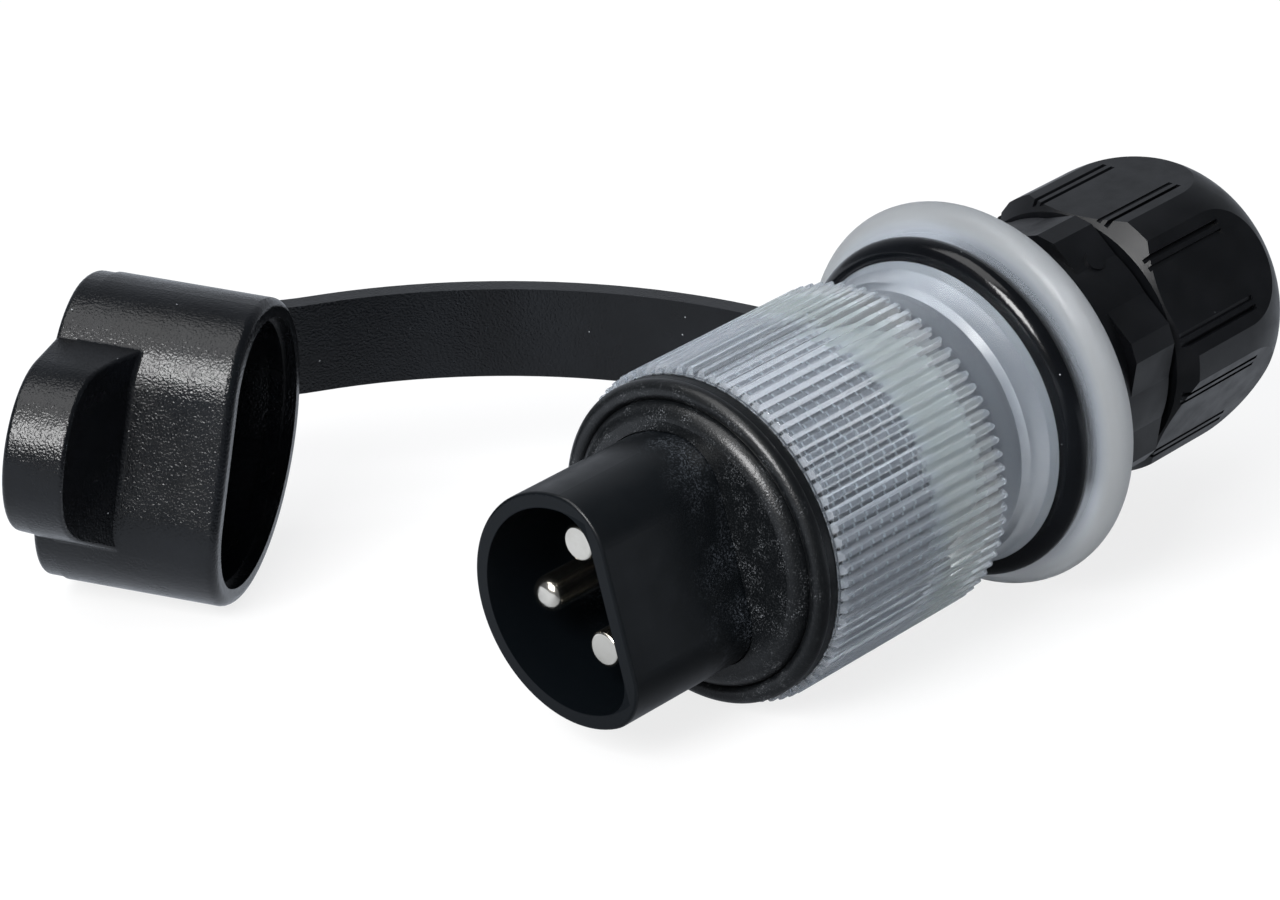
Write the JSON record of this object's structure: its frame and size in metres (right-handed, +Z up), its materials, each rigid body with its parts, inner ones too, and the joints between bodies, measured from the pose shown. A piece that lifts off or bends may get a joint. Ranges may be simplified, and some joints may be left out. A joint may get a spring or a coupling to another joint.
{
  "type": "plug with led indicator",
  "caption": "Round ribbed plug with a translucent lamp housing, a D-shaped contact shroud, a face seal, a cable gland and a rubber cap on a strap.",
  "frame": {"origin": "middle of the footprint on the surface that the plug and its cap lie on", "axes": "+Z up; +X along the plug in plan, from the contact shroud to the cable gland; the cap lies on the +Y side"},
  "size_m": [0.106, 0.0854, 0.0368],
  "materials": {
    "carrier_black": "moulded satin",
    "pin_nickel": "nickel plated",
    "screw_steel": "zinc plated",
    "seal_rubber": "matt",
    "housing_clear": "milky translucent",
    "board_laminate": "lacquered",
    "led_epoxy": "clear",
    "resistor_lacquer": "lacquered",
    "diode_moulding": "moulded",
    "post_tin": "tinned",
    "gland_nylon": "moulded satin",
    "gland_rubber": "matt",
    "cap_rubber": "fine grained"
  },
  "bodies": {
    "plug": {"contact_carrier": "carrier_black", "line_pin": "pin_nickel", "neutral_pin": "pin_nickel", "earth_pin": "pin_nickel", "line_screw": "screw_steel", "neutral_screw": "screw_steel", "earth_screw": "screw_steel", "front_seal": "seal_rubber", "housing": "housing_clear", "led_board": "board_laminate", "indicator_led": "led_epoxy", "series_resistor": "resistor_lacquer", "blocking_diode": "diode_moulding", "line_post": "post_tin", "neutral_post": "post_tin", "gland_washer": "gland_rubber", "gland_body": "gland_nylon", "gland_insert": "gland_rubber", "gland_nut": "gland_nylon"},
    "cap": {"protective_cap": "cap_rubber"}
  },
  "joints": [
    {"name": "cap_swivel", "type": "hinge", "parent": "plug", "child": "cap", "pos_m": [0.0158, -0.02422, 0.01814], "axis": [0.9971, 0, 0.0763], "continuous": true}
  ]
}
